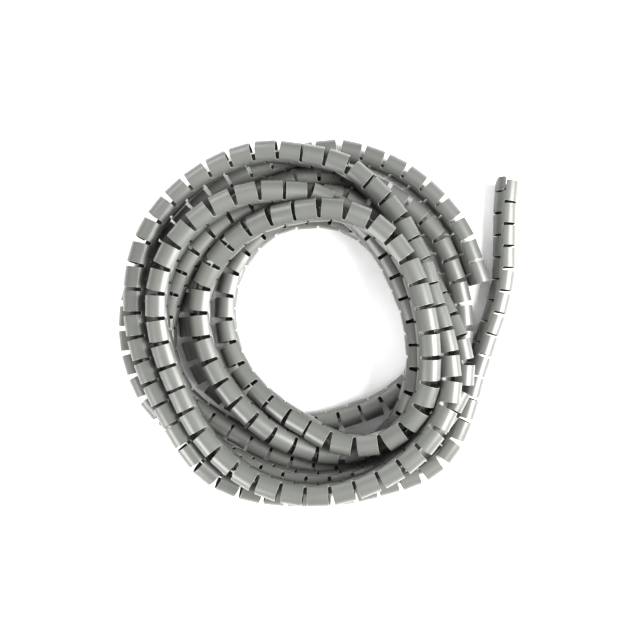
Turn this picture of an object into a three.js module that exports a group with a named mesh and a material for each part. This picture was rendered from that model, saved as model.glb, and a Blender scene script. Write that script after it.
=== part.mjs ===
// A slotted cable wrap of grey plastic, lying as a loose coil of seven turns with one free tail.
// The wrap is one moulded tube. Slots cut from both sides leave C-shaped rings on a narrow spine.
// Millimetres, +Z up. The coil lies on the plane z = 0, and the origin is under the middle of its box.
import * as THREE from "three";

// Section of the tube
const TUBE_DIAMETER = 18;
const WALL = 1;
const SPINE_WIDTH = 1.6;
const SEAM_GAP = 1;
const FACETS_A_SIDE = 3;
const CORNER_PROUD = 0.3; // the corners of the faceted section stand this far outside the true circle

// Slots along the tube, measured along the spine
const RING_PITCH = 18.19;
const SLOT_WIDTH = 2;
const TIGHTEST_SLOT = 0.4; // what is left of a slot on the inside of a sharp bend

// How the wrap is laid
const TURN_CLEARANCE = 0.8; // between the corners of two strands that touch
const STRAND_STEP = 6.3; // between the points that the strand is settled by
const JOINT_STEP = 0.84; // along the spine, between the pieces that the long tube is made in

// The pieces, with the angle along the route where each begins: the free end, one for each turn, and
// the tail from where it leaves the coil
const PIECES = [
  ["free_end", 0], ["turn_1", 60], ["turn_2", 360], ["turn_3", 720], ["turn_4", 1080],
  ["turn_5", 1440], ["turn_6", 1800], ["turn_7", 2160], ["tail", 2470],
];

const MATERIAL = { color: 0x8b8d89, roughness: 0.42, metalness: 0 };

// The route from one free end to the other, turn by turn, counter-clockwise from above. Each point is
// an angle in degrees, a distance from the middle of the coil and the lift of the strand off the floor.
const ROUTE = [
  // The outermost turn begins at the free end, which lies on the shoulder of the tail.
  [
    [12, 151.5, 12], [20, 147.5, 8], [30, 148, 2], [45, 147.5, 0], [60, 146, 0], [70, 143.5, 0],
    [78, 140.5, 3], [85, 134.5, 9], [92, 129, 15], [100, 126, 16], [110, 126, 12],
    [120, 127, 4], [130, 128.5, 0], [140, 129.5, 0], [150, 133, 0], [160, 138, 0], [170, 143, 0],
    [180, 145, 0], [200, 144.5, 0], [210, 142.5, 0], [217, 138, 2], [230, 129.5, 8],
    [250, 124.5, 14], [270, 128.5, 16], [300, 134, 16], [325, 134.5, 16], [341, 132.5, 16],
    [348, 126.5, 17], [357, 118.5, 16],
  ],
  // It drops inward to the floor, climbs over the third turn and runs out again.
  [
    [6, 111.5, 16], [16, 107, 11], [30, 105, 5], [45, 105.5, 0], [60, 105.5, 0], [75, 105, 0],
    [90, 104, 6], [105, 103, 14], [120, 102, 18], [135, 102, 18], [150, 103, 18], [160, 104.5, 18],
    [170, 107, 17], [180, 111, 14], [190, 115.5, 7], [200, 118, 0], [215, 118, 0], [225, 115.5, 0],
    [235, 114.5, 0], [245, 115.5, 0], [255, 118.5, 0], [268, 123.5, 0], [278, 129.5, 0],
    [287, 133, 0], [300, 134.5, 0], [330, 133, 0], [344, 128.5, 0], [355, 128, 0],
  ],
  // Low on the floor, passing beneath the second turn to the innermost place.
  [
    [15, 129.5, 0], [30, 130, 0], [45, 127, 0], [60, 124.5, 0], [75, 123.5, 0], [85, 121.5, 0],
    [100, 115.5, 0], [110, 112, 0], [120, 108.5, 0], [140, 104, 0], [160, 100.5, 0], [180, 98, 0],
    [195, 95.5, 0], [213, 94, 0], [228, 90, 0], [240, 88, 0], [260, 86.5, 0], [290, 86.5, 0],
    [300, 88.5, 0], [310, 93, 0], [320, 97, 0], [330, 101.5, 0], [338, 101.5, 0], [346, 99, 0],
  ],
  // The round edge of the eye, then up and over on the lower right.
  [
    [0, 93, 0], [20, 89, 0], [45, 88, 0], [65, 89.5, 0], [75, 89.5, 0], [90, 86.5, 0], [105, 84, 0],
    [120, 79, 0], [135, 74.5, 0], [150, 71, 0], [165, 67.5, 0], [180, 65.5, 0], [195, 65, 0],
    [210, 66, 2], [225, 68, 5], [240, 71.5, 9], [250, 75, 13], [260, 80, 16], [270, 86, 16],
    [281, 97.5, 17], [293, 107.5, 19], [305, 114.5, 20], [315, 116, 25], [330, 113.5, 28],
    [343, 105, 33], [355, 98.5, 36],
  ],
  // On top round the upper half, sinking to the floor at the bottom.
  [
    [10, 92.5, 34], [30, 91, 31], [60, 91, 31], [75, 90, 31], [90, 87.5, 31], [105, 86, 29],
    [120, 85, 25], [150, 85, 19], [165, 85, 16], [180, 83.5, 12], [200, 82, 12], [210, 82, 12],
    [225, 83, 14], [240, 86, 15], [250, 89.5, 13], [260, 95, 9], [268, 100, 5], [286, 112, 0],
    [300, 115.5, 0], [315, 110, 8], [326, 102.5, 16], [337, 97.5, 17], [349, 91, 16],
  ],
  // Beneath the fifth turn on the right, then on top all round the left and the bottom.
  [
    [2, 86.5, 16], [16, 82.5, 16], [31, 82, 16], [45, 84, 16], [60, 88, 16], [75, 93, 16],
    [84, 96, 16], [96, 97, 19], [107, 101.5, 25], [119, 106.5, 29], [130, 110, 31], [150, 114, 31],
    [170, 114, 31], [190, 112, 31], [200, 111.5, 31], [212, 113, 31], [220, 116, 31],
    [230, 120.5, 31], [240, 124.5, 31], [250, 128.5, 31], [260, 131.5, 31], [275, 134, 31],
    [290, 134, 31], [310, 132.5, 31], [320, 130, 31], [330, 126, 29], [340, 118.5, 28],
    [350, 112.5, 25],
  ],
  // Out over the top to the rim, down the left side to the floor, and off as the tail.
  [
    [3, 105, 23], [13, 102, 19], [25, 103.5, 16], [36, 105, 16], [46, 109.5, 14], [56, 114.5, 16],
    [66, 120.5, 16], [74, 126.5, 16], [82, 129, 25], [90, 131, 31], [105, 138, 31], [120, 141.5, 28],
    [135, 143, 22], [150, 142.5, 17], [165, 138.5, 16], [180, 135, 16], [195, 131.5, 16],
    [205, 130.5, 16], [218, 131.5, 16], [229, 135, 12], [238, 139.5, 8], [247, 142.5, 3],
    [256, 143.5, 0], [264, 143, 0], [278, 143, 0], [290, 145, 0], [297, 149, 0], [304, 155, 0],
    [313, 159.5, 0], [320, 158, 0], [325, 155, 0], [331, 151, 0], [341, 145.5, 0], [349, 146.5, 0],
    [355.5, 149.5, 0],
  ],
  [
    [2.8, 155.5, 0], [9.3, 161, 0], [13.5, 166.5, 0], [21.7, 177, 0], [31.3, 195, 0],
    [34.6, 204.5, 0], [38, 217.5, 0],
  ],
];

// How the strand settles: rounds of smoothing, sinking and pushing touching strands apart
const SETTLE_ROUNDS = 300;
const CLOSING_ROUNDS = 60;
const PUSHES_A_ROUND = 3;
const SINK_A_ROUND = 0.2;
const PLAN_PULL = 0.3;
const PLAN_SMOOTHINGS = 2;
const HEIGHT_SMOOTHINGS = 10;
const CLOSING_SMOOTHINGS = 1;
const SMOOTHING = 0.25;
const NEIGHBOUR_POINTS = 9; // points this near along the strand never touch each other
const ROUTE_SAMPLE_DEG = 0.25;

// Sizes that follow from the driving dimensions
const RADIUS = TUBE_DIAMETER / 2;
const CORNER_RADIUS = RADIUS + CORNER_PROUD;
const SPINE_HALF_ANGLE = Math.asin(SPINE_WIDTH / 2 / RADIUS);
const SEAM_HALF_ANGLE = Math.asin(SEAM_GAP / 2 / RADIUS);
const FACET_ANGLE = (Math.PI - SPINE_HALF_ANGLE - SEAM_HALF_ANGLE) / FACETS_A_SIDE;
const FACET_HEIGHT = CORNER_RADIUS * Math.cos(FACET_ANGLE / 2);
const INNER_RADIUS = CORNER_RADIUS - WALL / Math.cos(FACET_ANGLE / 2);
// The spine leans to the inside of the coil by the angle that lays the last facet flat on the floor.
const LEAN = SEAM_HALF_ANGLE + FACET_ANGLE / 2;
// Points a step apart can straddle the place where two strands are nearest.
const STRADDLE = 0.5;
const CONTACT = 2 * CORNER_RADIUS + TURN_CLEARANCE + STRADDLE;
const PAIR_REACH = 2 * CONTACT + 2;
const UP = new THREE.Vector3(0, 0, 1);

// A value between table rows, on a cubic that passes through every row
function between(rows, column, at) {
  let i = 0;
  while (i < rows.length - 2 && at >= rows[i + 1][0]) i += 1;
  const slope = (k) => (rows[k + 1][column] - rows[k][column]) / (rows[k + 1][0] - rows[k][0]);
  const step = (k) => rows[k + 1][0] - rows[k][0];
  const tangent = (k) => {
    if (k === 0) return slope(0);
    if (k === rows.length - 1) return slope(k - 1);
    return (slope(k - 1) * step(k) + slope(k) * step(k - 1)) / (step(k) + step(k - 1));
  };
  const h = step(i);
  const w = (at - rows[i][0]) / h;
  return (
    (1 + 2 * w) * (1 - w) ** 2 * rows[i][column] +
    w * (1 - w) ** 2 * h * tangent(i) +
    w * w * (3 - 2 * w) * rows[i + 1][column] +
    w * w * (w - 1) * h * tangent(i + 1)
  );
}

// The planned strand as points a step apart, each with its angle along the whole route
function plannedStrand() {
  const rows = ROUTE.flatMap((turn, k) => turn.map(([angle, r, lift]) => [360 * k + angle, r, lift]));
  const fine = [];
  for (let angle = rows[0][0]; angle < rows[rows.length - 1][0]; angle += ROUTE_SAMPLE_DEG) {
    const r = between(rows, 1, angle);
    const lift = Math.max(between(rows, 2, angle), 0);
    const turned = THREE.MathUtils.degToRad(angle);
    fine.push({
      angle,
      place: new THREE.Vector3(r * Math.cos(turned), r * Math.sin(turned), FACET_HEIGHT + lift),
    });
  }
  const points = [];
  let along = 0;
  for (let k = 1; k < fine.length; k += 1) {
    const span = fine[k].place.distanceTo(fine[k - 1].place);
    while (points.length * STRAND_STEP <= along + span) {
      const share = (points.length * STRAND_STEP - along) / span;
      points.push({
        angle: THREE.MathUtils.lerp(fine[k - 1].angle, fine[k].angle, share),
        place: fine[k - 1].place.clone().lerp(fine[k].place, share),
      });
    }
    along += span;
  }
  return points;
}

// One pass that pulls each value towards its neighbours along the strand
function smoothed(values) {
  const last = values.length - 1;
  return values.map((v, i) => {
    const before = values[Math.max(i - 1, 0)];
    const after = values[Math.min(i + 1, last)];
    return v + SMOOTHING * (before + after - 2 * v);
  });
}

// Pairs of points that lie near enough in plan to touch, without neighbours along the strand
function nearPairs(x, y) {
  const pairs = [];
  for (let i = 0; i < x.length; i += 1) {
    for (let j = i + NEIGHBOUR_POINTS; j < x.length; j += 1) {
      if (Math.hypot(x[i] - x[j], y[i] - y[j]) < PAIR_REACH) pairs.push([i, j]);
    }
  }
  return pairs;
}

// Pushes touching strands apart across their own lengths, and keeps them on the floor
function pushApart(place, pairs) {
  const [x, y, z] = place;
  const count = x.length;
  const push = [0, 1, 2].map(() => new Float64Array(count));
  const touches = new Float64Array(count);
  for (const [i, j] of pairs) {
    const d = [x[j] - x[i], y[j] - y[i], z[j] - z[i]];
    const apart = Math.hypot(...d);
    if (apart >= CONTACT) continue;
    const share = (0.5 * (CONTACT - apart)) / apart;
    for (let k = 0; k < 3; k += 1) {
      push[k][i] -= d[k] * share;
      push[k][j] += d[k] * share;
    }
    touches[i] += 1;
    touches[j] += 1;
  }
  for (let i = 0; i < count; i += 1) {
    if (!touches[i]) continue;
    const a = Math.max(i - 1, 0);
    const b = Math.min(i + 1, count - 1);
    const along = [x[b] - x[a], y[b] - y[a], z[b] - z[a]];
    const size = Math.hypot(...along);
    const spread = Math.sqrt(touches[i]);
    const slide = along.reduce((sum, v, k) => sum + (v / size) * (push[k][i] / spread), 0);
    for (let k = 0; k < 3; k += 1) push[k][i] = push[k][i] / spread - (slide * along[k]) / size;
  }
  for (let k = 0; k < 3; k += 1) {
    for (let i = 0; i < count; i += 1) place[k][i] += push[k][i];
  }
  place[2] = place[2].map((v) => Math.max(v, FACET_HEIGHT));
}

// The strand as it lies: on the floor or on other strands, bent no more sharply than it can be
function settledStrand(planned) {
  const plan = ["x", "y", "z"].map((axis) => planned.map((p) => p.place[axis]));
  let place = plan.map((values) => [...values]);
  const pairs = nearPairs(plan[0], plan[1]);
  for (let round = 0; round < SETTLE_ROUNDS + CLOSING_ROUNDS; round += 1) {
    const closing = round >= SETTLE_ROUNDS;
    const pull = closing ? 1 : 1 - PLAN_PULL;
    for (let k = 0; k < 2; k += 1) {
      let shift = place[k].map((v, i) => v - plan[k][i]);
      const passes = closing ? CLOSING_SMOOTHINGS : PLAN_SMOOTHINGS;
      for (let n = 0; n < passes; n += 1) shift = smoothed(shift);
      place[k] = shift.map((v, i) => plan[k][i] + v * pull);
    }
    let height = closing ? place[2] : place[2].map((v) => v - SINK_A_ROUND);
    for (let n = 0; n < (closing ? CLOSING_SMOOTHINGS : HEIGHT_SMOOTHINGS); n += 1) {
      height = smoothed(height);
    }
    place[2] = height.map((v) => Math.max(v, FACET_HEIGHT));
    const pushes = closing ? 3 * PUSHES_A_ROUND : PUSHES_A_ROUND;
    for (let n = 0; n < pushes; n += 1) pushApart(place, pairs);
  }
  return planned.map((p, i) => ({
    angle: p.angle,
    place: new THREE.Vector3(place[0][i], place[1][i], place[2][i]),
  }));
}

// Axes across the strand: the spine's direction and the direction from it to the outer side
function crossAxes(tangent) {
  const up = UP.clone().addScaledVector(tangent, -UP.dot(tangent)).normalize();
  const outward = tangent.clone().cross(up);
  const spine = up.clone().multiplyScalar(Math.cos(LEAN)).addScaledVector(outward, -Math.sin(LEAN));
  const side = outward.multiplyScalar(Math.cos(LEAN)).addScaledVector(up, Math.sin(LEAN));
  return { spine, side };
}

// The settled strand as a function of the distance along its spine
function spineRuler(strand) {
  const last = strand.length - 1;
  const tangents = strand.map((_, i) =>
    strand[Math.min(i + 1, last)].place.clone().sub(strand[Math.max(i - 1, 0)].place).normalize(),
  );
  const onSpine = strand.map((p, i) =>
    p.place.clone().addScaledVector(crossAxes(tangents[i]).spine, RADIUS),
  );
  const along = [0];
  for (let i = 1; i <= last; i += 1) along.push(along[i - 1] + onSpine[i].distanceTo(onSpine[i - 1]));
  return {
    length: along[last],
    at(distance) {
      let i = 0;
      while (i < last - 1 && distance > along[i + 1]) i += 1;
      const share = (distance - along[i]) / (along[i + 1] - along[i]);
      return {
        angle: THREE.MathUtils.lerp(strand[i].angle, strand[i + 1].angle, share),
        place: strand[i].place.clone().lerp(strand[i + 1].place, share),
        tangent: tangents[i].clone().lerp(tangents[i + 1], share).normalize(),
      };
    },
  };
}

// A ring's half: a stiff curved plate from the spine round to the seam, on the side given by sign
function halfRing(ruler, from, to, sign) {
  const { place, tangent, angle } = ruler.at((from + to) / 2);
  const ends = ruler.at(from).place.add(ruler.at(to).place).multiplyScalar(0.5);
  const middle = place.lerp(ends, 0.5);
  const { spine, side } = crossAxes(tangent);
  const corner = (radius, k, shift) => {
    const turned = SPINE_HALF_ANGLE + k * FACET_ANGLE;
    return middle
      .clone()
      .addScaledVector(tangent, shift)
      .addScaledVector(spine, radius * Math.cos(turned))
      .addScaledVector(side, sign * radius * Math.sin(turned));
  };
  const line = (radius, shift) =>
    Array.from({ length: FACETS_A_SIDE + 1 }, (_, k) => corner(radius, k, shift));
  const half = (to - from) / 2;
  // A ring that tips where the strand rises rests on its lowest corner.
  const lowest = Math.min(...[-half, half].flatMap((shift) => line(CORNER_RADIUS, shift)).map((p) => p.z));
  middle.z += Math.max(0, -lowest);
  return {
    from,
    to,
    sign,
    tangent,
    angle,
    start: { outer: line(CORNER_RADIUS, -half), inner: line(INNER_RADIUS, -half) },
    end: { outer: line(CORNER_RADIUS, half), inner: line(INNER_RADIUS, half) },
  };
}

// Neighbouring half rings that would meet on the inside of a bend keep a narrow slot between them
function keepSlotOpen(before, after) {
  for (const skin of ["outer", "inner"]) {
    for (let k = 0; k <= FACETS_A_SIDE; k += 1) {
      const a = before.end[skin][k];
      const b = after.start[skin][k];
      const lack = TIGHTEST_SLOT - b.clone().sub(a).dot(before.tangent);
      if (lack <= 0) continue;
      a.addScaledVector(before.tangent, -lack / 2);
      b.addScaledVector(after.tangent, lack / 2);
    }
  }
}

// All half rings of the wrap, side by side along the spine: whole pitches on the outer side, and half a
// pitch further on the inner side, with a short one at each free end where the tube is cut square
function halfRings(ruler) {
  const count = Math.floor(ruler.length / RING_PITCH);
  const total = count * RING_PITCH;
  const slot = SLOT_WIDTH / 2;
  const outerSide = [];
  const innerSide = [];
  for (let n = 0; n < count; n += 1) {
    const from = n * RING_PITCH + (n > 0 ? slot : 0);
    const to = n < count - 1 ? (n + 1) * RING_PITCH - slot : total;
    outerSide.push(halfRing(ruler, from, to, 1));
  }
  for (let n = 0; n <= count; n += 1) {
    const from = n > 0 ? (n - 0.5) * RING_PITCH + slot : 0;
    const to = n < count ? (n + 0.5) * RING_PITCH - slot : total;
    innerSide.push(halfRing(ruler, from, to, -1));
  }
  for (const row of [outerSide, innerSide]) {
    for (let n = 1; n < row.length; n += 1) keepSlotOpen(row[n - 1], row[n]);
  }
  return { outerSide, innerSide };
}

// Collects quads and triangles, and turns them into one mesh geometry
class Shell {
  constructor() {
    this.corners = [];
  }

  triangle(a, b, c, flipped) {
    for (const p of flipped ? [a, c, b] : [a, b, c]) this.corners.push(p.x, p.y, p.z);
  }

  quad(a, b, c, d, flipped) {
    this.triangle(a, b, c, flipped);
    this.triangle(a, c, d, flipped);
  }

  geometry() {
    const geometry = new THREE.BufferGeometry();
    geometry.setAttribute("position", new THREE.Float32BufferAttribute(this.corners, 3));
    geometry.computeVertexNormals();
    return geometry;
  }
}

function addHalfRing(shell, ring) {
  const { start, end, sign } = ring;
  const flipped = sign < 0;
  for (let k = 0; k < FACETS_A_SIDE; k += 1) {
    const n = k + 1;
    shell.quad(start.outer[k], start.outer[n], end.outer[n], end.outer[k], flipped);
    shell.quad(start.inner[k], end.inner[k], end.inner[n], start.inner[n], flipped);
    shell.quad(start.outer[k], start.inner[k], start.inner[n], start.outer[n], flipped);
    shell.quad(end.outer[k], end.outer[n], end.inner[n], end.inner[k], flipped);
  }
  const seam = FACETS_A_SIDE;
  shell.quad(start.outer[seam], start.inner[seam], end.inner[seam], end.outer[seam], flipped);
}

// The root points of one side's half rings, where they grow out of the spine
function spineEdge(rings, tongue) {
  const edge = tongue ? [tongue] : [];
  for (const ring of rings) {
    edge.push({ along: ring.from, outer: ring.start.outer[0], inner: ring.start.inner[0] });
    edge.push({ along: ring.to, outer: ring.end.outer[0], inner: ring.end.inner[0] });
  }
  return edge;
}

// The point of the spine just past the last half ring of the piece before
function tongueAfter(ring) {
  const past = (p) => p.clone().addScaledVector(ring.tangent, JOINT_STEP);
  return {
    along: ring.to + JOINT_STEP,
    outer: past(ring.end.outer[0]),
    inner: past(ring.end.inner[0]),
  };
}

// The bottoms of the slots on one side, between the half rings and at the tongue
function addSlotBottoms(shell, edge, hasTongue, flipped) {
  for (let n = hasTongue ? 0 : 1; n + 1 < edge.length; n += 2) {
    const a = edge[n];
    const b = edge[n + 1];
    shell.quad(a.outer, a.inner, b.inner, b.outer, flipped);
  }
}

// The spine: a narrow strip between the roots of both sides, closed at its two cut ends
function addSpine(shell, left, right, hasTongue) {
  let a = 0;
  let b = 0;
  while (a + 1 < left.length || b + 1 < right.length) {
    const stepLeft =
      b + 1 >= right.length || (a + 1 < left.length && left[a + 1].along <= right[b + 1].along);
    const next = stepLeft ? left[a + 1] : right[b + 1];
    shell.triangle(left[a].outer, right[b].outer, next.outer, false);
    shell.triangle(left[a].inner, right[b].inner, next.inner, true);
    if (stepLeft) a += 1;
    else b += 1;
  }
  const close = (l, r, flipped) => shell.quad(l.outer, l.inner, r.inner, r.outer, flipped);
  close(left[0], right[0], false);
  close(left[left.length - 1], right[right.length - 1], true);
  addSlotBottoms(shell, left, hasTongue, true);
  addSlotBottoms(shell, right, hasTongue, false);
}

// One piece of the wrap: the half rings from one index to the next on each side, and their spine
function wrapPiece(name, rows, first, past) {
  const hasTongue = first > 0;
  const outerRings = rows.outerSide.slice(first, past);
  const innerRings = rows.innerSide.slice(hasTongue ? first + 1 : 0, past + 1);
  const outerTongue = hasTongue ? tongueAfter(rows.outerSide[first - 1]) : null;
  const innerTongue = hasTongue ? tongueAfter(rows.innerSide[first]) : null;
  const shell = new Shell();
  for (const ring of [...outerRings, ...innerRings]) addHalfRing(shell, ring);
  const left = spineEdge(innerRings, innerTongue);
  const right = spineEdge(outerRings, outerTongue);
  addSpine(shell, left, right, hasTongue);
  const mesh = new THREE.Mesh(shell.geometry(), new THREE.MeshStandardMaterial(MATERIAL));
  mesh.name = name;
  return mesh;
}

// The first ring of each piece
function pieceBounds(rows) {
  return PIECES.map(([name, angle]) => {
    return { name, first: rows.outerSide.findIndex((ring) => ring.angle > angle) };
  });
}

const strand = settledStrand(plannedStrand());
const rows = halfRings(spineRuler(strand));
const wrap = new THREE.Group();
const bounds = pieceBounds(rows);
bounds.forEach(({ name, first }, k) => {
  const past = k + 1 < bounds.length ? bounds[k + 1].first : rows.outerSide.length;
  wrap.add(wrapPiece(name, rows, first, past));
});

// The origin goes under the middle of the coil's box, with the lowest facets on the floor.
const box = new THREE.Box3().setFromObject(wrap);
const middle = box.getCenter(new THREE.Vector3());
wrap.position.set(-middle.x, -middle.y, -box.min.z);

export default wrap;
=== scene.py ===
"""A slotted cable wrap of grey plastic, lying as a loose coil of seven turns with one free tail.

The wrap is one moulded tube. Slots cut from both sides leave C-shaped rings on a narrow spine, and
the slots of one side stand half a pitch from those of the other. On the outside of a bend the slots
spread into notches, and on the inside they close until only their round ends are left as dots.
"""
import logging
import math
from dataclasses import dataclass, field
from enum import Enum
from typing import Any

import bpy
import numpy as np
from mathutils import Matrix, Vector


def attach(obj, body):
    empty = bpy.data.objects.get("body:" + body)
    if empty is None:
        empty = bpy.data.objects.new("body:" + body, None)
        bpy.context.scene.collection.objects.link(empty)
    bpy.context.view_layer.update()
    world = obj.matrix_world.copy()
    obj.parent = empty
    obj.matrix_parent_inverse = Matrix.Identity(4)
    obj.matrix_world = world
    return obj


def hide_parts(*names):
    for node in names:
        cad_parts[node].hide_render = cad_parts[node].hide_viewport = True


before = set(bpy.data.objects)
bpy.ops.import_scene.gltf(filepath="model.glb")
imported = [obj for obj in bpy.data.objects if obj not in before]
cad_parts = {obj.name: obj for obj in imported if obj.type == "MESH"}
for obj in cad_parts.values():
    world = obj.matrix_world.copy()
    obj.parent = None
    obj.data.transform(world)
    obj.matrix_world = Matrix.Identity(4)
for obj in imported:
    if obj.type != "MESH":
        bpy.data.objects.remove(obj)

LOG = logging.getLogger("cable_wrap")
MM = 0.001
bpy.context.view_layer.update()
# The place of the coil's own middle in the row frame, in millimetres
COIL_MIDDLE = (-11.67, 2.265)
# Two places along the tube, in millimetres, that are nearer than this are the same
SAME_PLACE = 1e-6

# The route from one free end to the other, turn by turn, counter-clockwise from above. Each point is
# an angle in degrees, a distance from the middle of the coil and the lift of the strand off the floor.
ROUTE: list[list[tuple[float, float, float]]] = [
    # The outermost turn begins at the free end.
    [
        (12, 151.5, 12), (20, 147.5, 8), (30, 148, 2), (45, 147.5, 0), (60, 146, 0), (70, 143.5, 0),
        (78, 140.5, 3), (85, 134.5, 9), (92, 129, 15), (100, 126, 16), (110, 126, 12),
        (120, 127, 4), (130, 128.5, 0), (140, 129.5, 0), (150, 133, 0), (160, 138, 0), (170, 143, 0),
        (180, 145, 0), (200, 144.5, 0), (210, 142.5, 0), (217, 138, 2), (230, 129.5, 8),
        (250, 124.5, 14), (270, 128.5, 16), (300, 134, 16), (325, 134.5, 16), (341, 132.5, 16),
        (348, 126.5, 17), (357, 118.5, 16),
    ],
    # It drops inward to the floor, climbs over the third turn and runs out again.
    [
        (6, 111.5, 16), (16, 107, 11), (30, 105, 5), (45, 105.5, 0), (60, 105.5, 0), (75, 105, 0),
        (90, 104, 6), (105, 103, 14), (120, 102, 18), (135, 102, 18), (150, 103, 18), (160, 104.5, 18),
        (170, 107, 17), (180, 111, 14), (190, 115.5, 7), (200, 118, 0), (215, 118, 0), (225, 115.5, 0),
        (235, 114.5, 0), (245, 115.5, 0), (255, 118.5, 0), (268, 123.5, 0), (278, 129.5, 0),
        (287, 133, 0), (300, 134.5, 0), (330, 133, 0), (344, 128.5, 0), (355, 128, 0),
    ],
    # Low on the floor, passing beneath the second turn to the innermost place.
    [
        (15, 129.5, 0), (30, 130, 0), (45, 127, 0), (60, 124.5, 0), (75, 123.5, 0), (85, 121.5, 0),
        (100, 115.5, 0), (110, 112, 0), (120, 108.5, 0), (140, 104, 0), (160, 100.5, 0), (180, 98, 0),
        (195, 95.5, 0), (213, 94, 0), (228, 90, 0), (240, 88, 0), (260, 86.5, 0), (290, 86.5, 0),
        (300, 88.5, 0), (310, 93, 0), (320, 97, 0), (330, 101.5, 0), (338, 101.5, 0), (346, 99, 0),
    ],
    # The round edge of the eye, then up and over on the lower right.
    [
        (0, 93, 0), (20, 89, 0), (45, 88, 0), (65, 89.5, 0), (75, 89.5, 0), (90, 86.5, 0),
        (105, 84, 0), (120, 79, 0), (135, 74.5, 0), (150, 71, 0), (165, 67.5, 0), (180, 65.5, 0),
        (195, 65, 0), (210, 66, 2), (225, 68, 5), (240, 71.5, 9), (250, 75, 13), (260, 80, 16),
        (270, 86, 16), (281, 97.5, 17), (293, 107.5, 19), (305, 114.5, 20), (315, 116, 25),
        (330, 113.5, 28), (343, 105, 33), (355, 98.5, 36),
    ],
    # On top round the upper half, sinking to the floor at the bottom.
    [
        (10, 92.5, 34), (30, 91, 31), (60, 91, 31), (75, 90, 31), (90, 87.5, 31), (105, 86, 29),
        (120, 85, 25), (150, 85, 19), (165, 85, 16), (180, 83.5, 12), (200, 82, 12), (210, 82, 12),
        (225, 83, 14), (240, 86, 15), (250, 89.5, 13), (260, 95, 9), (268, 100, 5), (286, 112, 0),
        (300, 115.5, 0), (315, 110, 8), (326, 102.5, 16), (337, 97.5, 17), (349, 91, 16),
    ],
    # Beneath the fifth turn on the right, then on top all round the left and the bottom.
    [
        (2, 86.5, 16), (16, 82.5, 16), (31, 82, 16), (45, 84, 16), (60, 88, 16), (75, 93, 16),
        (84, 96, 16), (96, 97, 19), (107, 101.5, 25), (119, 106.5, 29), (130, 110, 31), (150, 114, 31),
        (170, 114, 31), (190, 112, 31), (200, 111.5, 31), (212, 113, 31), (220, 116, 31),
        (230, 120.5, 31), (240, 124.5, 31), (250, 128.5, 31), (260, 131.5, 31), (275, 134, 31),
        (290, 134, 31), (310, 132.5, 31), (320, 130, 31), (330, 126, 29), (340, 118.5, 28),
        (350, 112.5, 25),
    ],
    # Out over the top to the rim, down the left side to the floor, and off as the tail.
    [
        (3, 105, 23), (13, 102, 19), (25, 103.5, 16), (36, 105, 16), (46, 109.5, 14), (56, 114.5, 16),
        (66, 120.5, 16), (74, 126.5, 16), (82, 129, 25), (90, 131, 31), (105, 138, 31), (120, 141.5, 28),
        (135, 143, 22), (150, 142.5, 17), (165, 138.5, 16), (180, 135, 16), (195, 131.5, 16),
        (205, 130.5, 16), (218, 131.5, 16), (229, 135, 12), (238, 139.5, 8), (247, 142.5, 3),
        (256, 143.5, 0), (264, 143, 0), (278, 143, 0), (290, 145, 0), (297, 149, 0), (304, 155, 0),
        (313, 159.5, 0), (320, 158, 0), (325, 155, 0), (331, 151, 0), (341, 145.5, 0), (349, 146.5, 0),
        (355.5, 149.5, 0),
    ],
    [
        (2.8, 155.5, 0), (9.3, 161, 0), (13.5, 166.5, 0), (21.7, 177, 0), (31.3, 195, 0),
        (34.6, 204.5, 0), (38, 217.5, 0),
    ],
]

# How far the spine leans from the top of the tube to the inside of the coil, along the route:
# an angle along the whole route and the lean, both in degrees
LEANS: list[tuple[float, float]] = [
    (12, 36), (60, 50), (300, 52), (1200, 52), (1400, 60), (2300, 60), (2420, 50), (2500, 36),
    (2530, 31), (2560, 29),
]


@dataclass(frozen=True)
class WrapSize:
    """The real sizes of the wrap, in millimetres, and the turn of its seam in degrees."""

    diameter: float = 18.0
    wall: float = 1.0
    spine_width: float = 1.6
    seam_gap: float = 1.0
    seam_turn: float = 40.0
    ring_pitch: float = 18.175
    slot_width: float = 2.0
    slot_end_radius: float = 1.3
    tightest_slot: float = 0.35
    rim_radius: float = 0.32

    @property
    def radius(self) -> float:
        """Outer radius of the tube."""
        return self.diameter / 2

    @property
    def bore_radius(self) -> float:
        """Inner radius of the tube."""
        return self.radius - self.wall

    @property
    def root_angle(self) -> float:
        """Angle from the middle of the spine to its edge."""
        return math.asin(self.spine_width / 2 / self.radius)

    def plate_reach(self, side: int) -> float:
        """Length of a plate round the tube, from the spine's edge to the open seam.

        Args:
            side: 1 on the outside of the coil and -1 on the inside, which the seam is turned to.

        Returns:
            The length in millimetres.
        """
        seam = math.pi + side * math.radians(self.seam_turn) - math.asin(self.seam_gap / 2 / self.radius)
        return (seam - self.root_angle) * self.radius


@dataclass(frozen=True)
class Settling:
    """How the strand settles: rounds of smoothing, sinking and pushing touching strands apart."""

    clearance: float = 0.8
    floor_gap: float = 0.03
    pair_margin: float = 2.0
    step: float = 6.3
    rounds: int = 300
    closing_rounds: int = 60
    pushes: int = 3
    closing_pushes: int = 9
    sink: float = 0.2
    plan_pull: float = 0.3
    plan_smoothings: int = 2
    height_smoothings: int = 10
    closing_smoothings: int = 1
    smoothing: float = 0.25
    neighbours: int = 9
    sample_deg: float = 0.25


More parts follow.
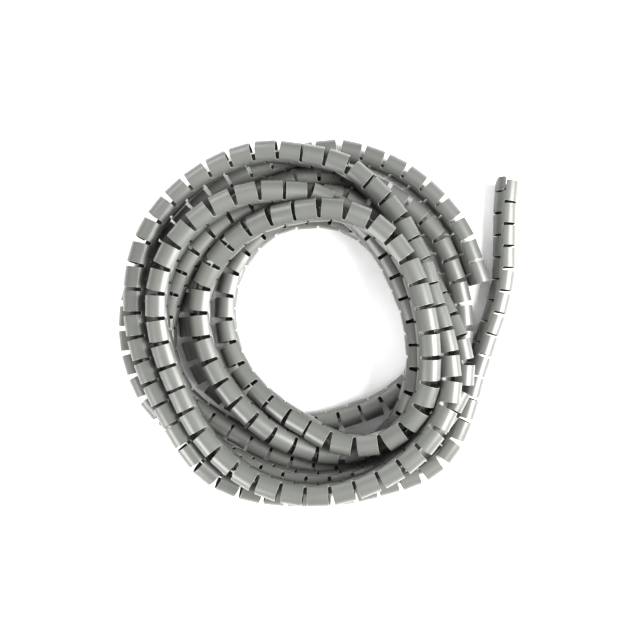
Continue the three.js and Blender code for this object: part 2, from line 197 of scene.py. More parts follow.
@dataclass
class Strand:
    """The strand's axis as it lies: an angle along the route and a place for each point, in mm."""

    angles: np.ndarray
    places: np.ndarray

    @property
    def runs(self) -> np.ndarray:
        """Unit vectors along the strand."""
        runs = np.gradient(self.places, axis=0)
        return runs / np.linalg.norm(runs, axis=1)[:, None]

    def spine_directions(self) -> np.ndarray:
        """Unit vectors from the axis to the spine, leaning to the inside of the coil.

        Returns:
            One vector a point.
        """
        runs = self.runs
        ups = np.array([0.0, 0.0, 1.0]) - runs * runs[:, 2:]
        ups /= np.linalg.norm(ups, axis=1)[:, None]
        outward = np.cross(runs, ups)
        table = np.array(LEANS)
        lean = np.radians(np.interp(self.angles, table[:, 0], table[:, 1]))[:, None]
        return ups * np.cos(lean) - outward * np.sin(lean)


@dataclass
class CoilRoute:
    """Lays the strand along its route, on the floor and on other strands."""

    size: WrapSize
    settling: Settling = field(default_factory=Settling)

    @property
    def contact(self) -> float:
        """Distance between the axes of two strands that touch."""
        return self.size.diameter + self.settling.clearance

    @property
    def rest_height(self) -> float:
        """Height of the axis of a strand that lies on the floor."""
        return self.size.radius + self.settling.floor_gap

    def curve(self, rows: np.ndarray, column: int, at: np.ndarray) -> np.ndarray:
        """Values between table rows, on a cubic that passes through every row.

        Args:
            rows: the route's table, one row a point.
            column: the column that is read.
            at: the angles that values are wanted for.

        Returns:
            One value an angle.
        """
        knots, values = rows[:, 0], rows[:, column]
        steps = np.diff(knots)
        slopes = np.diff(values) / steps
        inner = (slopes[:-1] * steps[1:] + slopes[1:] * steps[:-1]) / (steps[1:] + steps[:-1])
        tangents = np.concatenate([slopes[:1], inner, slopes[-1:]])
        k = np.clip(np.searchsorted(knots, at, side="right") - 1, 0, len(knots) - 2)
        h = steps[k]
        w = (at - knots[k]) / h
        return (
            (1 + 2 * w) * (1 - w) ** 2 * values[k]
            + w * (1 - w) ** 2 * h * tangents[k]
            + w * w * (3 - 2 * w) * values[k + 1]
            + w * w * (w - 1) * h * tangents[k + 1]
        )

    def planned(self) -> Strand:
        """The planned strand as points a step apart.

        Returns:
            The strand before it settles.
        """
        rows = np.array(
            [(360 * k + a, r, lift) for k, turn in enumerate(ROUTE) for a, r, lift in turn]
        )
        angles = np.arange(rows[0, 0], rows[-1, 0], self.settling.sample_deg)
        radii = self.curve(rows, 1, angles)
        lifts = np.maximum(self.curve(rows, 2, angles), 0)
        turned = np.radians(angles)
        places = np.stack(
            [radii * np.cos(turned), radii * np.sin(turned), self.rest_height + lifts], 1
        )
        along = lengths_along(places)
        at = np.arange(0, along[-1], self.settling.step)
        return Strand(np.interp(at, along, angles), sampled(places, along, at))

    def smoothed(self, values: np.ndarray, passes: int) -> np.ndarray:
        """Passes that pull each value towards its neighbours along the strand.

        Args:
            values: one value a point.
            passes: the number of passes.

        Returns:
            The smoothed values.
        """
        for _ in range(passes):
            before = np.concatenate([values[:1], values[:-1]])
            after = np.concatenate([values[1:], values[-1:]])
            values = values + self.settling.smoothing * (before + after - 2 * values)
        return values

    def push_apart(self, places: np.ndarray, first: np.ndarray, second: np.ndarray) -> None:
        """Pushes touching strands apart across their own lengths, and keeps them on the floor.

        Args:
            places: the strand's points, changed in place.
            first: one index of each near pair.
            second: the other index of each near pair.
        """
        apart = places[second] - places[first]
        distance = np.linalg.norm(apart, axis=1)
        hit = distance < self.contact
        i, j = first[hit], second[hit]
        share = 0.5 * (self.contact - distance[hit]) / distance[hit]
        pushes = apart[hit] * share[:, None]
        count = len(places)
        moves = np.stack(
            [
                np.bincount(j, pushes[:, k], count) - np.bincount(i, pushes[:, k], count)
                for k in range(3)
            ],
            1,
        )
        touches = np.bincount(i, minlength=count) + np.bincount(j, minlength=count)
        moves /= np.sqrt(np.maximum(touches, 1))[:, None]
        index = np.arange(count)
        runs = places[np.minimum(index + 1, count - 1)] - places[np.maximum(index - 1, 0)]
        runs /= np.linalg.norm(runs, axis=1)[:, None]
        moves -= runs * (moves * runs).sum(1)[:, None]
        places += moves
        places[:, 2] = np.maximum(places[:, 2], self.rest_height)

    def settled(self) -> Strand:
        """The strand as it lies, moved to its place in the row frame.

        Returns:
            The settled strand.
        """
        rule = self.settling
        planned = self.planned()
        plan = planned.places
        places = plan.copy()
        first, second = np.triu_indices(len(plan), rule.neighbours)
        apart = np.linalg.norm(plan[second, :2] - plan[first, :2], axis=1)
        near = apart < 2 * self.contact + rule.pair_margin
        first, second = first[near], second[near]
        for step in range(rule.rounds + rule.closing_rounds):
            closing = step >= rule.rounds
            pull = 1.0 if closing else 1 - rule.plan_pull
            passes = rule.closing_smoothings if closing else rule.plan_smoothings
            for k in range(2):
                shift = self.smoothed(places[:, k] - plan[:, k], passes)
                places[:, k] = plan[:, k] + shift * pull
            passes = rule.closing_smoothings if closing else rule.height_smoothings
            height = self.smoothed(places[:, 2] - (0.0 if closing else rule.sink), passes)
            places[:, 2] = np.maximum(height, self.rest_height)
            for _ in range(rule.closing_pushes if closing else rule.pushes):
                self.push_apart(places, first, second)
        places[:, 0] += COIL_MIDDLE[0]
        places[:, 1] += COIL_MIDDLE[1]
        return Strand(planned.angles, places)


def lengths_along(places: np.ndarray) -> np.ndarray:
    """Distances along a line of points.

    Args:
        places: the points in order.

    Returns:
        The distance of each point from the first, along the line.
    """
    steps = np.linalg.norm(np.diff(places, axis=0), axis=1)
    return np.concatenate([[0.0], np.cumsum(steps)])


def sampled(values: np.ndarray, along: np.ndarray, at: np.ndarray) -> np.ndarray:
    """Values between points of a line.

    Args:
        values: one vector a point.
        along: the distance of each point.
        at: the wanted distances.

    Returns:
        One vector a wanted distance.
    """
    return np.stack([np.interp(at, along, values[:, k]) for k in range(3)], 1)


class Wire:
    """A node's output socket that can be used in Python expressions."""

    def __init__(self, tree: "NodeTree", socket: bpy.types.NodeSocket | None) -> None:
        """Wraps a socket of a tree."""
        self.tree = tree
        self.socket = socket

    def _math(self, operation: str, *values: Any) -> "Wire":
        """Adds a Math node for an operation on values."""
        return self.tree.node("ShaderNodeMath", {"operation": operation}, dict(enumerate(values)))

    def _vector(self, operation: str, inputs: dict[Any, Any]) -> "Wire":
        """Adds a Vector Math node for an operation."""
        return self.tree.node("ShaderNodeVectorMath", {"operation": operation}, inputs)

    def __add__(self, other: Any) -> "Wire":
        """Sum of two numbers."""
        return self._math("ADD", self, other)

    __radd__ = __add__

    def __mul__(self, other: Any) -> "Wire":
        """Product of two numbers."""
        return self._math("MULTIPLY", self, other)

    __rmul__ = __mul__

    def __sub__(self, other: Any) -> "Wire":
        """Difference of two numbers."""
        return self._math("SUBTRACT", self, other)

    def __rsub__(self, other: Any) -> "Wire":
        """Difference with the wire on the right."""
        return self._math("SUBTRACT", other, self)

    def __truediv__(self, other: Any) -> "Wire":
        """Quotient of two numbers."""
        return self._math("DIVIDE", self, other)

    def __gt__(self, other: Any) -> "Wire":
        """One where the wire is greater, and nought elsewhere."""
        return self._math("GREATER_THAN", self, other)

    def lowest(self, other: Any) -> "Wire":
        """The lower of two numbers."""
        return self._math("MINIMUM", self, other)

    def highest(self, other: Any) -> "Wire":
        """The higher of two numbers."""
        return self._math("MAXIMUM", self, other)

    def plus(self, other: Any) -> "Wire":
        """Sum of two vectors."""
        return self._vector("ADD", {0: self, 1: other})

    def minus(self, other: Any) -> "Wire":
        """Difference of two vectors."""
        return self._vector("SUBTRACT", {0: self, 1: other})

    def cross(self, other: Any) -> "Wire":
        """Cross product of two vectors."""
        return self._vector("CROSS_PRODUCT", {0: self, 1: other})

    def times(self, amount: Any) -> "Wire":
        """A vector times a number."""
        return self._vector("SCALE", {0: self, "Scale": amount})

    def unit(self) -> "Wire":
        """The vector with a length of one."""
        return self._vector("NORMALIZE", {0: self})

    def dot(self, other: Any) -> "Wire":
        """Dot product of two vectors."""
        found = self._vector("DOT_PRODUCT", {0: self, 1: other})
        return Wire(self.tree, found.socket.node.outputs["Value"])


class NodeTree:
    """Adds nodes to a shader or geometry tree."""

    def __init__(self, tree: bpy.types.NodeTree) -> None:
        """Wraps an empty tree."""
        self.tree = tree

    def node(
        self,
        kind: str,
        settings: dict[str, Any] | None = None,
        inputs: dict[Any, Any] | None = None,
        output: str | int = 0,
    ) -> Wire:
        """Adds one node.

        Args:
            kind: the node's type name.
            settings: properties of the node, set before its sockets.
            inputs: values or wires by socket name or number.
            output: the output socket that is returned.

        Returns:
            The node's output as a wire.
        """
        made = self.tree.nodes.new(kind)
        for name, value in (settings or {}).items():
            setattr(made, name, value)
        for key, value in (inputs or {}).items():
            self.link(made.inputs[key], value)
        if not made.outputs:
            return Wire(self, None)
        return Wire(self, made.outputs[output])

    def link(self, socket: bpy.types.NodeSocket, value: Any) -> None:
        """Feeds a socket with a wire, or sets its value."""
        for one in value if isinstance(value, list) else [value]:
            if isinstance(one, Wire):
                self.tree.links.new(one.socket, socket)
            else:
                socket.default_value = one


class End(Enum):
    """How a half ring ends along the tube."""

    SLOT = "a slot with a round end"
    SQUARE = "the square end of the tube"
    SLIT = "the square end of the tube, with a slit between the plate and the spine"


@dataclass
class Plate:
    """One half ring: a curved plate from the spine round to the seam, in millimetres."""

    start: float
    stop: float
    side: int
    starts: End = End.SLOT
    stops: End = End.SLOT

    @property
    def middle(self) -> float:
        """Place of the plate's middle along the tube."""
        return (self.start + self.stop) / 2


@dataclass(frozen=True)
class Tab:
    """The tab on the tail's last half ring: a curved plate that reaches past the square end, in mm."""

    gap: float = 0.25
    cut_corner: float = 2.3
    round_corner: float = 1.4
    overhang: float = 2.6
    slope_from: float = 7.6
    slope: float = 0.88
    lift: float = 0.35
    thickness: float = 0.9
    steps: tuple[float, ...] = (
        0.0, 0.15, 0.4, 0.8, 1.4, 2.3, 3.4, 4.6, 6.0, 7.6, 9.2, 10.8, 12.4, 14.0, 15.6,
    )


@dataclass
class PitchMesh:
    """Builds the straight pieces that the wrap is laid from, around the X axis."""

    size: WrapSize
    root_steps: tuple[float, ...] = (0.0, 0.3, 0.9, 1.7)
    plate_span: float = 1.95
    hold_reach: float = 3.6
    slit_width: float = 0.5
    slit_corner: float = 0.03
    rim_inset: float = 0.29
    points: list[tuple[float, float, float]] = field(default_factory=list)
    faces: list[tuple[int, ...]] = field(default_factory=list)
    from_ring: list[float] = field(default_factory=list)
    hold: list[float] = field(default_factory=list)
    rim: list[float] = field(default_factory=list)
    around: list[float] = field(default_factory=list)
    known: dict[tuple[float, ...], int] = field(default_factory=dict)
    closing: dict[tuple[int, int], list[int]] = field(default_factory=dict)

    def point(
        self, u: float, angle: float, radius: float, from_ring: float, hold: float, rim: float
    ) -> int:
        """Adds a point of the tube's surface, or finds it.

        Args:
            u: place along the tube.
            angle: turn from the middle of the spine.
            radius: distance from the axis.
            from_ring: distance along the tube from the middle of the point's own ring.
            hold: how firmly the ring holds the point, from 0 on the spine to 1.
            rim: 1 on a rounded edge, 0 elsewhere.

        Returns:
            The point's index.
        """
        key = (round(u, 4), round(angle, 5), round(radius, 4), round(hold, 3))
        if key not in self.known:
            self.known[key] = len(self.points)
            self.points.append((u, radius * math.sin(angle), radius * math.cos(angle)))
            self.from_ring.append(from_ring)
            self.hold.append(hold)
            self.rim.append(rim)
            self.around.append(angle * self.size.radius)
        return self.known[key]

    def slot_half(self, s: float) -> float:
        """Half the slot's width at a distance from its end.

        Args:
            s: distance from the slot's end, round the tube.

        Returns:
            Half the width: a round end a little wider than the slot.
        """
        r, half = self.size.slot_end_radius, self.size.slot_width / 2
        if s <= 0:
            return 0.0
        if s < r + math.sqrt(r * r - half * half):
            return math.sqrt(max(r * r - (r - s) ** 2, 0))
        return half

    def columns(self, plate: Plate) -> list[float]:
        """Distances from the spine's edge at which a plate has a line of points.

        Args:
            plate: the half ring.

        Returns:
            Distances round the tube from the root to the seam.
        """
        reach = self.size.plate_reach(plate.side)
        roots = list(self.root_steps)
        if plate.stops is End.SLIT:
            roots[2:2] = [self.slit_width - self.slit_corner, self.slit_width]
        spans = round((reach - roots[-1]) / self.plate_span)
        rest = np.linspace(roots[-1], reach, spans + 1)[1:]
        return [*roots, *(float(s) for s in rest)]

    def ends(self, plate: Plate, s: float) -> tuple[float, float]:
        """Where a plate starts and stops at a distance from the spine.

        Args:
            plate: the half ring.
            s: distance from the spine's edge.

        Returns:
            Start and stop along the tube.
        """
        start = plate.start + (self.slot_half(s) if plate.starts is End.SLOT else 0)
        stop = plate.stop - (self.slot_half(s) if plate.stops is End.SLOT else 0)
        if plate.stops is End.SLIT and s < self.slit_width:
            stop = plate.middle
        return start, stop

    def profile(
        self, start: float, stop: float, outer: float, inner: float
    ) -> list[tuple[float, float, int]]:
        """Section of a plate along the tube, with small rounds on its two outer edges.

        Args:
            start: where the plate starts along the tube.
            stop: where it stops.
            outer: its outer radius.
            inner: its inner radius.

        Returns:
            Place, radius and rim mark of eight points.
        """
        b = self.size.rim_radius
        inset = self.rim_inset * b
        return [
            (start, outer - b, 1), (start + inset, outer - inset, 1), (start + b, outer, 0),
            (stop - b, outer, 0), (stop - inset, outer - inset, 1), (stop, outer - b, 1),
            (stop, inner, 0), (start, inner, 0),
        ]

    def join(self, loops: list[list[int]], side: int) -> None:
        """Joins the sections of a plate, and closes the last of them."""
        for before, after in zip(loops, loops[1:]):
            for k in range(len(before)):
                n = (k + 1) % len(before)
                self.face((before[k], before[n], after[n], after[k]), side)
        self.face(tuple(loops[-1]), side)

    def add_plate(self, plate: Plate) -> list[list[int]]:
        """Adds a half ring.

        Args:
            plate: the half ring.

        Returns:
            The outer and the inner points of its root, in order along the tube.
        """
        size = self.size
        loops = []
        for s in self.columns(plate):
            angle = plate.side * (size.root_angle + s / size.radius)
            hold = min(s / self.hold_reach, 1.0)
            hold = hold * hold * (3 - 2 * hold)
            section = self.profile(*self.ends(plate, s), size.radius, size.bore_radius)
            loops.append(
                [self.point(u, angle, r, u - plate.middle, hold, rim) for u, r, rim in section]
            )
        self.join(loops, plate.side)
        return [loops[0][:6], loops[0][:5:-1]]

    def add_tab(self, tab: "Tab", base: Plate) -> None:
        """Adds the tab that stands a little proud of the last half ring.

        Args:
            tab: the tab's sizes.
            base: the half ring that it lies on.
        """
        size = self.size
        outer = size.radius + tab.lift
        loops = []
        for s in tab.steps:
            start = base.start + tab.gap + max(0.0, tab.cut_corner - s)
            rounding = tab.round_corner - math.sqrt(
                max(tab.round_corner**2 - max(tab.round_corner - s, 0.0) ** 2, 0.0)
            )
            stop = base.stop + tab.overhang - rounding - max(0.0, s - tab.slope_from) * tab.slope
            angle = size.root_angle - s / size.radius
            section = self.profile(start, stop, outer, outer - tab.thickness)
            loops.append([self.point(u, angle, r, u - base.middle, 1.0, rim) for u, r, rim in section])
        self.join(loops, -1)
        self.face(tuple(reversed(loops[0])), -1)

    def face(self, corners: tuple[int, ...], side: int) -> None:
        """Adds a face, turned the other way on the other side of the spine."""
        corners = tuple(dict.fromkeys(corners))
        if len(corners) > 2:
            self.faces.append(corners if side > 0 else corners[::-1])

    def add_strip(self, edge: list[int], spine: list[int], side: int) -> None:
        """Joins the root of one side's plates to the middle of the spine.

        Args:
            edge: the root's points in order along the tube.
            spine: the points of the spine's middle in order.
            side: the side of the plates, with its sign turned round on the inner skin.
        """
        edge = list(dict.fromkeys(edge))
        a = b = 0
        while a + 1 < len(edge) or b + 1 < len(spine):
            on_edge = b + 1 >= len(spine) or (
                a + 1 < len(edge)
                and self.points[edge[a + 1]][0] <= self.points[spine[b + 1]][0] + SAME_PLACE
            )
            following = edge[a + 1] if on_edge else spine[b + 1]
            self.face((edge[a], spine[b], following), -side)
            if on_edge:
                a += 1
            else:
                b += 1

    def build(self, name: str, plates: list[Plate], tab: "Tab | None" = None) -> bpy.types.Object:
        """Makes one straight piece of the wrap.

        Args:
            name: the object's name.
            plates: its half rings, in order along the tube on each side.
            tab: the tab on the last half ring, if there is one.

        Returns:
            The mesh object.
        """
        half = self.size.ring_pitch / 2
        for side in (1, -1):
            rows = [self.add_plate(plate) for plate in plates if plate.side == side]
            own = [plate for plate in plates if plate.side == side]
            first = own[0].start
            last = own[-1].middle if own[-1].stops is End.SLIT else own[-1].stop
            middles = [first + half * k for k in range(int(round((last - first) / half)) + 1)]
            for skin, radius in enumerate((self.size.radius, self.size.bore_radius)):
                edge = [p for row in rows for p in row[skin]]
                spine = [self.point(u, 0.0, radius, 0.0, 0.0, 0) for u in middles]
                self.add_strip(edge, spine, side if skin == 0 else -side)
                for place, end in ((0, own[0].starts), (-1, own[-1].stops)):
                    if end is not End.SLOT:
                        self.closing.setdefault((side, place), []).extend([edge[place], spine[place]])
        for (side, place), (edge_out, spine_out, edge_in, spine_in) in self.closing.items():
            self.face((edge_out, spine_out, spine_in, edge_in), side if place == 0 else -side)
        if tab is not None:
            self.add_tab(tab, plates[-1])
        mesh = bpy.data.meshes.new(name)
        mesh.from_pydata([[v * MM for v in p] for p in self.points], [], self.faces)
        for attribute, values in (
            ("from_ring", np.array(self.from_ring) * MM),
            ("hold", np.array(self.hold)),
            ("rim", np.array(self.rim)),
            ("around", np.array(self.around) * MM),
        ):
            layer = mesh.attributes.new(attribute, "FLOAT", "POINT")
            layer.data.foreach_set("value", values.astype(np.float32))
        made = bpy.data.objects.new(name, mesh)
        bpy.context.scene.collection.objects.link(made)
        return made


@dataclass(frozen=True)
class GreyPlastic:
    """Satin grey moulded plastic, with faint drawn lines along the tube and a painted highlight on its
    rounded rims.
    """

    shade: tuple[float, float, float] = (0.150, 0.154, 0.142)
    # A paler colour for the rounded rims: a painted highlight along the edges.
    painted_rim_highlight: tuple[float, float, float] = (0.36, 0.366, 0.348)
    rim_highlight_mix: float = 0.8
    even_tint: float = 0.93
    cloud_tint: float = 0.10
    drawn_tint: float = 0.05
    roughness: float = 0.34
    cloud_roughness: float = 0.10
    drawn_roughness: float = 0.06
    rim_smoothness: float = 0.08
    coat: float = 0.7
    coat_roughness: float = 0.32
    ior: float = 1.5
    drawn_scale: tuple[float, float, float] = (6.0, 420.0, 1.0)
    cloud_scale: float = 38.0
    grain_scale: float = 1500.0
    relief: float = 0.10
    relief_depth: float = 0.0002

    def material(self) -> bpy.types.Material:
        """Makes the material.

        Returns:
            A node material that reads the tube's own surface coordinates.
        """
        made = bpy.data.materials.new("satin_grey_plastic")
        made.use_nodes = True
        made.node_tree.nodes.clear()
        t = NodeTree(made.node_tree)
        place = t.node("ShaderNodeTexCoord", output="Object")
        run = t.node("ShaderNodeUVMap", {"uv_map": "along_around"})
        rim = t.node("ShaderNodeAttribute", {"attribute_name": "rim"}, output="Fac")
        stretched = t.node("ShaderNodeMapping", {}, {"Vector": run, "Scale": self.drawn_scale})
        drawn = t.node(
            "ShaderNodeTexNoise", {}, {"Vector": stretched, "Scale": 1.0, "Detail": 3.0, "Roughness": 0.55}
        )
        clouds = t.node(
            "ShaderNodeTexNoise", {}, {"Vector": place, "Scale": self.cloud_scale, "Detail": 3.0}
        )
        grain = t.node(
            "ShaderNodeTexNoise", {}, {"Vector": place, "Scale": self.grain_scale, "Detail": 2.0}
        )
        tint = self.even_tint + self.cloud_tint * clouds + self.drawn_tint * drawn
        # The rounded rims mix in a paler colour: a painted highlight along the edges of the slots and ends.
        base = t.node(
            "ShaderNodeMix", {"data_type": "RGBA"},
            {0: rim * self.rim_highlight_mix, 6: (*self.shade, 1), 7: (*self.painted_rim_highlight, 1)}, output=2,
        )
        shaded = t.node("ShaderNodeVectorMath", {"operation": "SCALE"}, {0: base, "Scale": tint})
        rough = self.roughness + self.cloud_roughness * clouds + self.drawn_roughness * drawn
        height = drawn * 0.5 + grain * 0.5
        bump = t.node(
            "ShaderNodeBump", {},
            {"Strength": self.relief, "Distance": self.relief_depth, "Height": height},
        )
        shader = t.node(
            "ShaderNodeBsdfPrincipled", {},
            {
                "Base Color": shaded, "Roughness": rough - rim * self.rim_smoothness, "Normal": bump,
                "IOR": self.ior, "Coat Weight": self.coat, "Coat Roughness": self.coat_roughness,
            },
        )
        t.node("ShaderNodeOutputMaterial", {}, {"Surface": shader})
        return made


@dataclass
class SlottedWrap:
    """The whole wrap: rings on a spine, laid along the settled strand.

    Points nearer than the merging distance, in millimetres, become one. Edges sharper than an angle
    in degrees stay sharp. A ring on the inside of a bend keeps at least a share of its width.
    """

    size: WrapSize
    strand: Strand
    finish: bpy.types.Material
    name: str = "slotted_wrap"
    merging: float = 0.004
    sharp_from: float = 42.0
    closest_fit: float = 0.5
    large_faces_first: int = 100

    def route_line(self) -> tuple[bpy.types.Object, float]:
        """Makes the line of the spine, with the axis and the directions across it on its points.

        Returns:
            The line as a mesh object, and its length in millimetres.
        """
        spines = self.strand.spine_directions()
        line = self.strand.places + spines * self.size.radius
        mesh = bpy.data.meshes.new(self.name)
        count = len(line)
        mesh.from_pydata((line * MM).tolist(), [(k, k + 1) for k in range(count - 1)], [])
        for attribute, values in (
            ("axis_place", self.strand.places * MM),
            ("spine_dir", spines),
            ("run_dir", self.strand.runs),
        ):
            layer = mesh.attributes.new(attribute, "FLOAT_VECTOR", "POINT")
            layer.data.foreach_set("vector", values.astype(np.float32).ravel())
        made = bpy.data.objects.new(self.name, mesh)
        bpy.context.scene.collection.objects.link(made)
        return made, float(lengths_along(line)[-1])

    def straight_pieces(self) -> dict[str, bpy.types.Object]:
        """Makes the repeated pitch and the two pieces with the tube's ends.

        Returns:
            The mesh objects by name.
        """
        p = self.size.ring_pitch
        right = Plate(0, p, 1)
        left = Plate(-p / 2, p / 2, -1)
        return {
            "plain": PitchMesh(self.size).build("plain_pitch", [right, left]),
            "first": PitchMesh(self.size).build(
                "first_pitch",
                [Plate(0, p, 1, End.SQUARE), Plate(0, p / 2, -1, End.SQUARE)],
            ),
            "last": PitchMesh(self.size).build(
                "last_pitch",
                [Plate(0, p, 1, End.SLOT, End.SLIT), left, Plate(p / 2, p, -1, End.SLOT, End.SQUARE)],
                Tab(),
            ),
        }

    def laying_tree(self) -> bpy.types.GeometryNodeTree:
        """Builds the node tree that repeats the pitch and lays it along the route.

        Returns:
            The geometry node tree.
        """
        group = bpy.data.node_groups.new("lay_wrap", "GeometryNodeTree")
        sockets = [
            ("Route", "NodeSocketGeometry"), ("Plain", "NodeSocketObject"), ("First", "NodeSocketObject"),
            ("Last", "NodeSocketObject"), ("Pitch", "NodeSocketFloat"), ("Count", "NodeSocketInt"),
            ("Slot", "NodeSocketFloat"), ("Tightest", "NodeSocketFloat"), ("Finish", "NodeSocketMaterial"),
        ]
        for name, kind in sockets:
            group.interface.new_socket(name, in_out="INPUT", socket_type=kind)
        group.interface.new_socket("Wrap", in_out="OUTPUT", socket_type="NodeSocketGeometry")
        t = NodeTree(group)
        inputs = group.nodes.new("NodeGroupInput")
        given = {name: Wire(t, inputs.outputs[name]) for name, _ in sockets}
        pitch, count = given["Pitch"], given["Count"]
        solids = {
            name: t.node("GeometryNodeObjectInfo", {}, {"Object": given[name]}, output="Geometry")
            for name in ("Plain", "First", "Last")
        }
        step = t.node("ShaderNodeCombineXYZ", {}, {"X": pitch})
        row = t.node(
            "GeometryNodeMeshLine", {}, {"Count": count - 2, "Start Location": step, "Offset": step}
        )
        copies = t.node("GeometryNodeInstanceOnPoints", {}, {"Points": row, "Instance": solids["Plain"]})
        repeated = t.node("GeometryNodeRealizeInstances", {}, {"Geometry": copies})
        end_shift = t.node("ShaderNodeCombineXYZ", {}, {"X": pitch * (count - 1)})
        last = t.node("GeometryNodeTransform", {}, {"Geometry": solids["Last"], "Translation": end_shift})
        joined = t.node("GeometryNodeJoinGeometry", {}, {0: [repeated, solids["First"], last]})
        merged = t.node(
            "GeometryNodeMergeByDistance", {}, {"Geometry": joined, "Distance": self.merging * MM}
        )
        place = t.node("GeometryNodeInputPosition")
        split = t.node("ShaderNodeSeparateXYZ", {}, {0: place})
        u = split
        across = Wire(t, split.socket.node.outputs["Y"])
        above = Wire(t, split.socket.node.outputs["Z"])
        around = self._named(t, "around")
        chart = t.node("ShaderNodeCombineXYZ", {}, {"X": u, "Y": around})
        charted = t.node(
            "GeometryNodeStoreNamedAttribute", {"data_type": "FLOAT2", "domain": "CORNER"},
            {"Geometry": merged, "Name": "along_around", "Value": chart},
        )
        curve = t.node("GeometryNodeMeshToCurve", {}, {"Mesh": given["Route"]})
        from_ring = self._named(t, "from_ring")
        ring = u - from_ring
        own = self._on_section(t, curve, u, across, above)
        held = self._on_section(t, curve, ring, across, above)
        before_at = (ring - pitch).highest(0.0)
        after_at = ring + pitch
        before = self._on_section(t, curve, before_at, across, above)
        after = self._on_section(t, curve, after_at, across, above)
        run = self._sample(t, curve, ring, "run_dir").unit()
        behind = held.minus(before).dot(run) / (ring - before_at)
        ahead = after.minus(held).dot(run) / pitch
        forward = from_ring > 0.0
        room = (ahead * forward + behind * (1.0 - forward)) * pitch - given["Tightest"]
        fit = (room / (pitch - given["Slot"])).lowest(1.0).highest(self.closest_fit)
        stiff = held.plus(run.times(from_ring * fit))
        laid = t.node(
            "ShaderNodeMix", {"data_type": "VECTOR"}, {0: self._named(t, "hold"), 4: own, 5: stiff}, output=1
        )
        lying = t.node("ShaderNodeSeparateXYZ", {}, {0: laid})
        aside = Wire(t, lying.socket.node.outputs["Y"])
        height = Wire(t, lying.socket.node.outputs["Z"]).highest(0.0)
        on_floor = t.node("ShaderNodeCombineXYZ", {}, {"X": lying, "Y": aside, "Z": height})
        moved = t.node("GeometryNodeSetPosition", {}, {"Geometry": charted, "Position": on_floor})
        smooth = t.node("GeometryNodeSetShadeSmooth", {}, {0: moved})
        bend = t.node("GeometryNodeInputMeshEdgeAngle")
        edged = t.node(
            "GeometryNodeSetShadeSmooth", {"domain": "EDGE"},
            {
                "Geometry": smooth, "Selection": bend > math.radians(self.sharp_from),
                "Shade Smooth": False,
            },
        )
        dressed = t.node("GeometryNodeSetMaterial", {}, {"Geometry": edged, "Material": given["Finish"]})
        t.node("NodeGroupOutput", {}, {0: dressed})
        return group

    @staticmethod
    def _named(t: NodeTree, name: str, kind: str = "FLOAT") -> Wire:
        """Reads a named attribute."""
        return t.node("GeometryNodeInputNamedAttribute", {"data_type": kind}, {"Name": name})

    def _sample(self, t: NodeTree, curve: Wire, at: Wire, name: str) -> Wire:
        """Reads a vector attribute of the route at a distance along the spine.

        Args:
            t: the tree.
            curve: the route as a curve.
            at: the distance.
            name: the attribute's name.

        Returns:
            The vector at that distance.
        """
        return t.node(
            "GeometryNodeSampleCurve", {"data_type": "FLOAT_VECTOR", "mode": "LENGTH"},
            {"Curves": curve, "Value": self._named(t, name, "FLOAT_VECTOR"), "Length": at},
        )

    def _on_section(self, t: NodeTree, curve: Wire, at: Wire, across: Wire, above: Wire) -> Wire:
        """The place of a point of the section, set across the route at a distance along the spine.

        Args:
            t: the tree.
            curve: the route as a curve.
            at: the distance.
            across: the point's place to the side.
            above: the point's place towards the spine.

        Returns:
            The place as a vector.
        """
        axis = self._sample(t, curve, at, "axis_place")
        spine = self._sample(t, curve, at, "spine_dir").unit()
        run = self._sample(t, curve, at, "run_dir")
        side = run.cross(spine).unit()
        return axis.plus(side.times(across)).plus(spine.times(above))

    def build(self) -> bpy.types.Object:
        """Lays the wrap and makes it one plain mesh.

        Returns:
            The finished piece.
        """
        line, length = self.route_line()
        pieces = self.straight_pieces()
        count = int(length // self.size.ring_pitch)
        tree = self.laying_tree()
        modifier = line.modifiers.new("lay", "NODES")
        modifier.node_group = tree
        evened = line.modifiers.new("evened", "WEIGHTED_NORMAL")
        evened.weight = self.large_faces_first
        evened.keep_sharp = True
        values = {
            "Plain": pieces["plain"], "First": pieces["first"], "Last": pieces["last"],
            "Pitch": self.size.ring_pitch * MM, "Count": count, "Slot": self.size.slot_width * MM,
            "Tightest": self.size.tightest_slot * MM, "Finish": self.finish,
        }
        for item in tree.interface.items_tree:
            if item.name in values and item.in_out == "INPUT":
                modifier[item.identifier] = values[item.name]
        bpy.context.view_layer.update()
        depsgraph = bpy.context.evaluated_depsgraph_get()
        mesh = bpy.data.meshes.new_from_object(line.evaluated_get(depsgraph), depsgraph=depsgraph)
        mesh.name = self.name
        line.modifiers.clear()
        line.data = mesh
        if not mesh.materials:
            mesh.materials.append(self.finish)
        for piece in pieces.values():
            bpy.data.objects.remove(piece)
        LOG.info("%s: %d rings along %.0f mm, %d faces", self.name, count, length, len(mesh.polygons))
        return line

    def declare(self, piece: bpy.types.Object) -> None:
        """Attaches the piece to the root body, and hides the imported solids that it stands for.

        Args:
            piece: the finished piece.
        """
        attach(piece, "root")
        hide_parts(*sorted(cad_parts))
        places = self.strand.places
        spine = places + self.strand.spine_directions() * self.size.radius


@dataclass(frozen=True)
class Lamp:
    """A soft square light: its name, its place and side in metres, and its power in watts."""

    name: str
    place: tuple[float, float, float]
    side: float
    watts: float


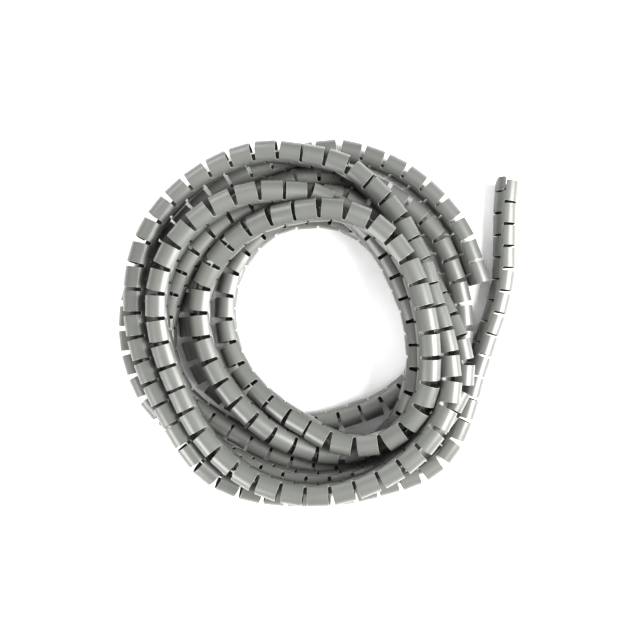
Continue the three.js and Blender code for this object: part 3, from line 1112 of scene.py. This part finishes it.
@dataclass(frozen=True)
class Studio:
    """A pale floor, soft light and the camera over the coil, in metres."""

    camera_place: tuple[float, float, float] = (0.00078, 0.002265, 0.480)
    focal_pixels: float = 567.0
    picture_pixels: float = 640.0
    sensor_width: float = 36.0
    nearest_seen: float = 0.01
    floor_reach: float = 2.5
    floor_shade: float = 0.92
    floor_roughness: float = 0.8
    floor_glow: float = 0.08
    lamps: tuple[Lamp, ...] = (
        Lamp("right_low", (1.138, -0.14, 0.984), 1.0, 56),
        Lamp("left_low", (-0.901, -0.811, 0.72), 0.8, 20),
        Lamp("back_low", (-0.65, 1.05, 0.75), 0.8, 10),
        Lamp("overhead", (0.0, 0.2, 1.6), 1.2, 4),
    )
    lamp_aim: tuple[float, float, float] = (0.0, 0.0, 0.02)
    room_light: float = 0.32
    gamma: float = 0.72
    exposure: float = 0.1

    def camera(self) -> None:
        """Sets the camera straight over the coil."""
        data = bpy.data.cameras.new("camera")
        data.sensor_width = self.sensor_width
        data.lens = self.sensor_width * self.focal_pixels / self.picture_pixels
        data.clip_start = self.nearest_seen
        made = bpy.data.objects.new("camera", data)
        made.location = self.camera_place
        bpy.context.scene.collection.objects.link(made)
        bpy.context.scene.camera = made

    def floor(self) -> None:
        """Lays a wide pale floor under the coil."""
        mesh = bpy.data.meshes.new("floor")
        w = self.floor_reach
        mesh.from_pydata([(-w, -w, 0), (w, -w, 0), (w, w, 0), (-w, w, 0)], [], [(0, 1, 2, 3)])
        made = bpy.data.objects.new("floor", mesh)
        bpy.context.scene.collection.objects.link(made)
        paint = bpy.data.materials.new("pale_floor")
        paint.use_nodes = True
        shader = paint.node_tree.nodes["Principled BSDF"]
        shader.inputs["Base Color"].default_value = (*[self.floor_shade] * 3, 1)
        shader.inputs["Roughness"].default_value = self.floor_roughness
        shader.inputs["Emission Color"].default_value = (1, 1, 1, 1)
        shader.inputs["Emission Strength"].default_value = self.floor_glow
        mesh.materials.append(paint)

    def light(self, lamp: Lamp) -> None:
        """Adds a soft square light that faces the coil.

        Args:
            lamp: the light's name, place, size and power.
        """
        data = bpy.data.lights.new(lamp.name, "AREA")
        data.shape = "SQUARE"
        data.size = lamp.side
        data.energy = lamp.watts
        made = bpy.data.objects.new(lamp.name, data)
        made.location = lamp.place
        aim = Vector(self.lamp_aim) - Vector(lamp.place)
        made.rotation_euler = aim.to_track_quat("-Z", "Y").to_euler()
        bpy.context.scene.collection.objects.link(made)

    def room(self) -> None:
        """Sets the pale surroundings and how the picture is shown."""
        world = bpy.data.worlds.new("pale_room")
        world.use_nodes = True
        background = world.node_tree.nodes["Background"]
        background.inputs["Color"].default_value = (1, 1, 1, 1)
        background.inputs["Strength"].default_value = self.room_light
        bpy.context.scene.world = world
        view = bpy.context.scene.view_settings
        view.view_transform = "Standard"
        view.gamma = self.gamma
        view.exposure = self.exposure

    def build(self) -> None:
        """Builds the studio."""
        self.camera()
        self.floor()
        for lamp in self.lamps:
            self.light(lamp)
        self.room()


def main() -> None:
    """Builds the wrap and the studio."""
    logging.basicConfig(level=logging.INFO, format="%(message)s")
    studio = Studio()
    studio.build()
    size = WrapSize()
    strand = CoilRoute(size).settled()
    wrap = SlottedWrap(size, strand, GreyPlastic().material())
    piece = wrap.build()
    wrap.declare(piece)


if __name__ == "__main__":
    main()
